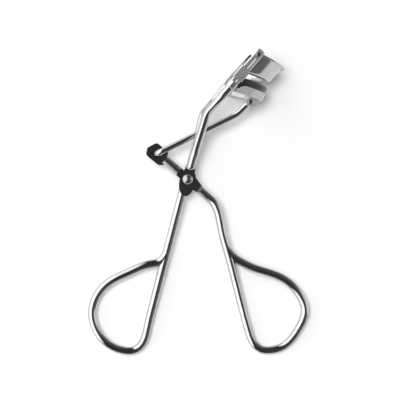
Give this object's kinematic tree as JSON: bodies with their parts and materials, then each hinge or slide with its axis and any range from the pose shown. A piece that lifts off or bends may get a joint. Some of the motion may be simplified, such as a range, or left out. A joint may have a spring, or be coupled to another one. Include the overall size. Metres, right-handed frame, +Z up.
{
  "type": "eyelash curler",
  "caption": "Eyelash curler: bent-wire scissor handles with finger loops, a forked arm to side rails, a fixed curved upper jaw, and a padded lower jaw slid by a link rod.",
  "frame": {"origin": "bottom centre of the bounding box, on the surface that the curler lies on, on its two finger loops and one wire of its fork", "axes": "+Y from the finger loops towards the jaws, +Z up from the surface, +X to the side that the jaws lean to"},
  "size_m": [0.0758, 0.1046, 0.0329],
  "materials": {
    "long_handle_chrome": "polished",
    "short_handle_chrome": "polished",
    "fork_chrome": "polished",
    "ferrule_chrome": "polished",
    "rail_chrome": "polished",
    "upper_jaw_chrome": "polished",
    "channel_chrome": "polished",
    "collar_chrome": "polished",
    "bracket_chrome": "polished",
    "link_chrome": "polished",
    "rivet_steel": "satin",
    "pad_rubber": "matte"
  },
  "bodies": {
    "frame": {"long_handle": "long_handle_chrome", "near_fork_wire": "fork_chrome", "far_fork_wire": "fork_chrome", "near_ferrule": "ferrule_chrome", "far_ferrule": "ferrule_chrome", "near_rail": "rail_chrome", "far_rail": "rail_chrome", "upper_jaw": "upper_jaw_chrome", "near_jaw_rivet": "rivet_steel", "far_jaw_rivet": "rivet_steel", "pivot_rivet": "rivet_steel"},
    "short_handle": {"short_handle": "short_handle_chrome"},
    "jaw_carriage": {"lower_jaw": "channel_chrome", "pad": "pad_rubber", "near_collar": "collar_chrome", "far_collar": "collar_chrome", "hinge_bracket": "bracket_chrome"},
    "link": {"link_rod": "link_chrome", "link_cross_pin": "rivet_steel"}
  },
  "joints": [
    {"name": "handle_pivot", "type": "hinge", "parent": "frame", "child": "short_handle", "pos_m": [-0.00393, 0.0071, 0.01108], "axis": [0, 0.164, -0.9865], "range_deg": [-5.2, 7.8]},
    {"name": "jaw_slide", "type": "slide", "parent": "frame", "child": "jaw_carriage", "axis": [0.6607, 0.7405, 0.1231], "range_m": [-0.00124, 0.00186]},
    {"name": "link_swing", "type": "hinge", "parent": "short_handle", "child": "link", "pos_m": [-0.01423, 0.01568, 0.01251], "axis": [0, 0.164, -0.9865], "range_deg": [-7.81, 5.21]}
  ],
  "couplings": [
    {"joint": "jaw_slide", "follows": "handle_pivot", "m_per_rad": 0.0135},
    {"joint": "link_swing", "follows": "handle_pivot", "ratio": -1}
  ]
}
